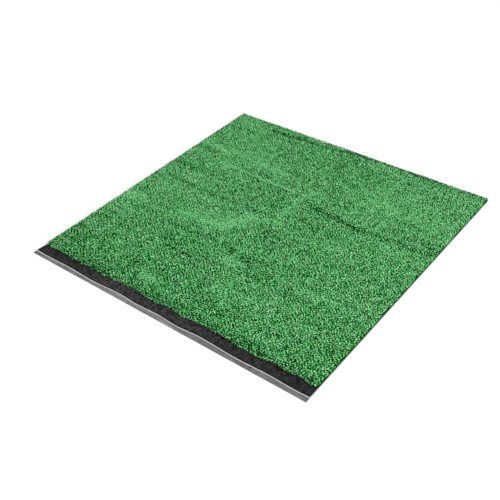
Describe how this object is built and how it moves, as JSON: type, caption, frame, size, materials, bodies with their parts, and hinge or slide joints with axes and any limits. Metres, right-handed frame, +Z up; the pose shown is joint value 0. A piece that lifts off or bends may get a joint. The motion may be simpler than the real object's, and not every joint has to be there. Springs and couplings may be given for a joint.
{
  "type": "golf hitting mat",
  "caption": "Square golf hitting mat of short green tufted turf on a thin foam pad, with a bare woven selvedge and a pad ledge along one edge.",
  "frame": {"origin": "on the ground under the middle of the mat: the bottom centre of its box", "axes": "+X along the tuft rows, to the right seen from the bare selvedge; +Y from the selvedge to the far edge; +Z up, out of the pile"},
  "size_m": [1, 1, 0.015],
  "materials": {
    "foam": "matte",
    "hot_melt": "satin",
    "latex": "matte",
    "woven_backing": "matte",
    "turf_yarn": "satin"
  },
  "bodies": {
    "root": {"shock_pad": "foam", "adhesive_film": "hot_melt", "latex_coat": "latex", "primary_backing": "woven_backing", "pile_rows_01": "turf_yarn", "pile_rows_02": "turf_yarn", "pile_rows_03": "turf_yarn", "pile_rows_04": "turf_yarn", "pile_rows_05": "turf_yarn", "pile_rows_06": "turf_yarn", "pile_rows_07": "turf_yarn", "pile_rows_08": "turf_yarn", "pile_rows_09": "turf_yarn", "pile_rows_10": "turf_yarn", "pile_rows_11": "turf_yarn", "pile_rows_12": "turf_yarn", "pile_rows_13": "turf_yarn", "pile_rows_14": "turf_yarn", "pile_rows_15": "turf_yarn", "pile_rows_16": "turf_yarn", "pile_rows_17": "turf_yarn", "pile_rows_18": "turf_yarn", "pile_rows_19": "turf_yarn", "pile_rows_20": "turf_yarn", "pile_rows_21": "turf_yarn", "pile_rows_22": "turf_yarn", "pile_rows_23": "turf_yarn", "pile_rows_24": "turf_yarn", "pile_rows_25": "turf_yarn"}
  },
  "joints": []
}
